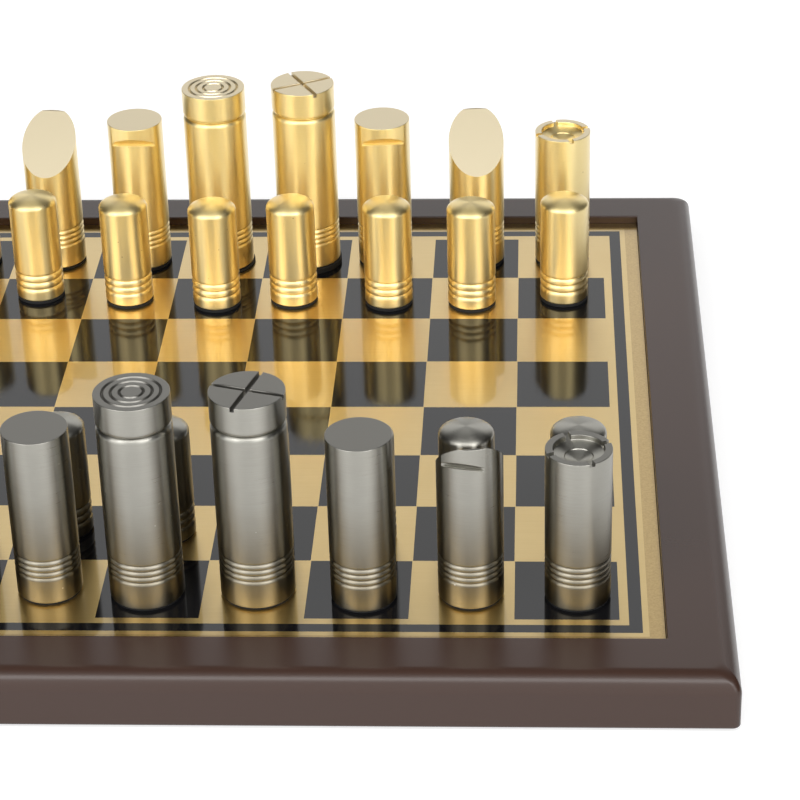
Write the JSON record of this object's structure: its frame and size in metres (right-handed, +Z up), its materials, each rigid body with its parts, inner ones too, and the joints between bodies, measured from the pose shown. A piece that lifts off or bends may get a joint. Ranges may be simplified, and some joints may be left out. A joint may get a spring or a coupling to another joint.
{
  "type": "chess set with board",
  "caption": "Chess set of turned brass and grey metal cylinder chessmen, standing ready on a square brass board with black enamel squares, held in a rounded dark brown wooden frame.",
  "frame": {"origin": "centre of the board's underside, on the table under the felt feet", "axes": "+Z up, +Y from the grey side to the gold side, +X to the right as seen from the grey side"},
  "size_m": [0.356, 0.356, 0.0974],
  "materials": {
    "frame_wood": "dark brown satin lacquer",
    "spline_wood": "raw hardwood",
    "felt": "dense black felt",
    "panel_board": "sealed fibreboard",
    "board_brass": "brushed brass under clear gloss lacquer",
    "enamel": "gloss black enamel",
    "pad_rubber": "matt black",
    "gold_metal": "turned and brushed brass",
    "grey_metal": "turned and brushed gunmetal grey plating"
  },
  "bodies": {
    "board": {"rail_front": "frame_wood", "rail_back": "frame_wood", "rail_left": "frame_wood", "rail_right": "frame_wood", "corner_splines": "spline_wood", "felt_feet": "felt", "base_panel": "panel_board", "playing_plate": "board_brass", "dark_squares": "enamel", "border_line": "enamel"},
    "gold_rook_a_man": {"gold_rook_a": "gold_metal", "gold_rook_a_pad": "pad_rubber"},
    "gold_knight_b_man": {"gold_knight_b": "gold_metal", "gold_knight_b_pad": "pad_rubber"},
    "gold_bishop_c_man": {"gold_bishop_c": "gold_metal", "gold_bishop_c_pad": "pad_rubber"},
    "gold_queen_d_man": {"gold_queen_d": "gold_metal", "gold_queen_d_pad": "pad_rubber"},
    "gold_king_e_man": {"gold_king_e": "gold_metal", "gold_king_e_pad": "pad_rubber"},
    "gold_bishop_f_man": {"gold_bishop_f": "gold_metal", "gold_bishop_f_pad": "pad_rubber"},
    "gold_knight_g_man": {"gold_knight_g": "gold_metal", "gold_knight_g_pad": "pad_rubber"},
    "gold_rook_h_man": {"gold_rook_h": "gold_metal", "gold_rook_h_pad": "pad_rubber"},
    "gold_pawn_a_man": {"gold_pawn_a": "gold_metal"},
    "gold_pawn_b_man": {"gold_pawn_b": "gold_metal"},
    "gold_pawn_c_man": {"gold_pawn_c": "gold_metal"},
    "gold_pawn_d_man": {"gold_pawn_d": "gold_metal"},
    "gold_pawn_e_man": {"gold_pawn_e": "gold_metal"},
    "gold_pawn_f_man": {"gold_pawn_f": "gold_metal"},
    "gold_pawn_g_man": {"gold_pawn_g": "gold_metal"},
    "gold_pawn_h_man": {"gold_pawn_h": "gold_metal"},
    "grey_rook_a_man": {"grey_rook_a": "grey_metal", "grey_rook_a_pad": "pad_rubber"},
    "grey_knight_b_man": {"grey_knight_b": "grey_metal", "grey_knight_b_pad": "pad_rubber"},
    "grey_bishop_c_man": {"grey_bishop_c": "grey_metal", "grey_bishop_c_pad": "pad_rubber"},
    "grey_queen_d_man": {"grey_queen_d": "grey_metal", "grey_queen_d_pad": "pad_rubber"},
    "grey_king_e_man": {"grey_king_e": "grey_metal", "grey_king_e_pad": "pad_rubber"},
    "grey_bishop_f_man": {"grey_bishop_f": "grey_metal", "grey_bishop_f_pad": "pad_rubber"},
    "grey_knight_g_man": {"grey_knight_g": "grey_metal", "grey_knight_g_pad": "pad_rubber"},
    "grey_rook_h_man": {"grey_rook_h": "grey_metal", "grey_rook_h_pad": "pad_rubber"},
    "grey_pawn_a_man": {"grey_pawn_a": "grey_metal"},
    "grey_pawn_b_man": {"grey_pawn_b": "grey_metal"},
    "grey_pawn_c_man": {"grey_pawn_c": "grey_metal"},
    "grey_pawn_d_man": {"grey_pawn_d": "grey_metal"},
    "grey_pawn_e_man": {"grey_pawn_e": "grey_metal"},
    "grey_pawn_f_man": {"grey_pawn_f": "grey_metal"},
    "grey_pawn_g_man": {"grey_pawn_g": "grey_metal"},
    "grey_pawn_h_man": {"grey_pawn_h": "grey_metal"}
  },
  "joints": [
    {"name": "gold_rook_a_lift", "type": "slide", "parent": "board", "child": "gold_rook_a_man", "axis": [0, 0, 1], "range_m": [0, 0.1]},
    {"name": "gold_knight_b_lift", "type": "slide", "parent": "board", "child": "gold_knight_b_man", "axis": [0, 0, 1], "range_m": [0, 0.1]},
    {"name": "gold_bishop_c_lift", "type": "slide", "parent": "board", "child": "gold_bishop_c_man", "axis": [0, 0, 1], "range_m": [0, 0.1]},
    {"name": "gold_queen_d_lift", "type": "slide", "parent": "board", "child": "gold_queen_d_man", "axis": [0, 0, 1], "range_m": [0, 0.1]},
    {"name": "gold_king_e_lift", "type": "slide", "parent": "board", "child": "gold_king_e_man", "axis": [0, 0, 1], "range_m": [0, 0.1]},
    {"name": "gold_bishop_f_lift", "type": "slide", "parent": "board", "child": "gold_bishop_f_man", "axis": [0, 0, 1], "range_m": [0, 0.1]},
    {"name": "gold_knight_g_lift", "type": "slide", "parent": "board", "child": "gold_knight_g_man", "axis": [0, 0, 1], "range_m": [0, 0.1]},
    {"name": "gold_rook_h_lift", "type": "slide", "parent": "board", "child": "gold_rook_h_man", "axis": [0, 0, 1], "range_m": [0, 0.1]},
    {"name": "gold_pawn_a_lift", "type": "slide", "parent": "board", "child": "gold_pawn_a_man", "axis": [0, 0, 1], "range_m": [0, 0.1]},
    {"name": "gold_pawn_b_lift", "type": "slide", "parent": "board", "child": "gold_pawn_b_man", "axis": [0, 0, 1], "range_m": [0, 0.1]},
    {"name": "gold_pawn_c_lift", "type": "slide", "parent": "board", "child": "gold_pawn_c_man", "axis": [0, 0, 1], "range_m": [0, 0.1]},
    {"name": "gold_pawn_d_lift", "type": "slide", "parent": "board", "child": "gold_pawn_d_man", "axis": [0, 0, 1], "range_m": [0, 0.1]},
    {"name": "gold_pawn_e_lift", "type": "slide", "parent": "board", "child": "gold_pawn_e_man", "axis": [0, 0, 1], "range_m": [0, 0.1]},
    {"name": "gold_pawn_f_lift", "type": "slide", "parent": "board", "child": "gold_pawn_f_man", "axis": [0, 0, 1], "range_m": [0, 0.1]},
    {"name": "gold_pawn_g_lift", "type": "slide", "parent": "board", "child": "gold_pawn_g_man", "axis": [0, 0, 1], "range_m": [0, 0.1]},
    {"name": "gold_pawn_h_lift", "type": "slide", "parent": "board", "child": "gold_pawn_h_man", "axis": [0, 0, 1], "range_m": [0, 0.1]},
    {"name": "grey_rook_a_lift", "type": "slide", "parent": "board", "child": "grey_rook_a_man", "axis": [0, 0, 1], "range_m": [0, 0.1]},
    {"name": "grey_knight_b_lift", "type": "slide", "parent": "board", "child": "grey_knight_b_man", "axis": [0, 0, 1], "range_m": [0, 0.1]},
    {"name": "grey_bishop_c_lift", "type": "slide", "parent": "board", "child": "grey_bishop_c_man", "axis": [0, 0, 1], "range_m": [0, 0.1]},
    {"name": "grey_queen_d_lift", "type": "slide", "parent": "board", "child": "grey_queen_d_man", "axis": [0, 0, 1], "range_m": [0, 0.1]},
    {"name": "grey_king_e_lift", "type": "slide", "parent": "board", "child": "grey_king_e_man", "axis": [0, 0, 1], "range_m": [0, 0.1]},
    {"name": "grey_bishop_f_lift", "type": "slide", "parent": "board", "child": "grey_bishop_f_man", "axis": [0, 0, 1], "range_m": [0, 0.1]},
    {"name": "grey_knight_g_lift", "type": "slide", "parent": "board", "child": "grey_knight_g_man", "axis": [0, 0, 1], "range_m": [0, 0.1]},
    {"name": "grey_rook_h_lift", "type": "slide", "parent": "board", "child": "grey_rook_h_man", "axis": [0, 0, 1], "range_m": [0, 0.1]},
    {"name": "grey_pawn_a_lift", "type": "slide", "parent": "board", "child": "grey_pawn_a_man", "axis": [0, 0, 1], "range_m": [0, 0.1]},
    {"name": "grey_pawn_b_lift", "type": "slide", "parent": "board", "child": "grey_pawn_b_man", "axis": [0, 0, 1], "range_m": [0, 0.1]},
    {"name": "grey_pawn_c_lift", "type": "slide", "parent": "board", "child": "grey_pawn_c_man", "axis": [0, 0, 1], "range_m": [0, 0.1]},
    {"name": "grey_pawn_d_lift", "type": "slide", "parent": "board", "child": "grey_pawn_d_man", "axis": [0, 0, 1], "range_m": [0, 0.1]},
    {"name": "grey_pawn_e_lift", "type": "slide", "parent": "board", "child": "grey_pawn_e_man", "axis": [0, 0, 1], "range_m": [0, 0.1]},
    {"name": "grey_pawn_f_lift", "type": "slide", "parent": "board", "child": "grey_pawn_f_man", "axis": [0, 0, 1], "range_m": [0, 0.1]},
    {"name": "grey_pawn_g_lift", "type": "slide", "parent": "board", "child": "grey_pawn_g_man", "axis": [0, 0, 1], "range_m": [0, 0.1]},
    {"name": "grey_pawn_h_lift", "type": "slide", "parent": "board", "child": "grey_pawn_h_man", "axis": [0, 0, 1], "range_m": [0, 0.1]}
  ]
}
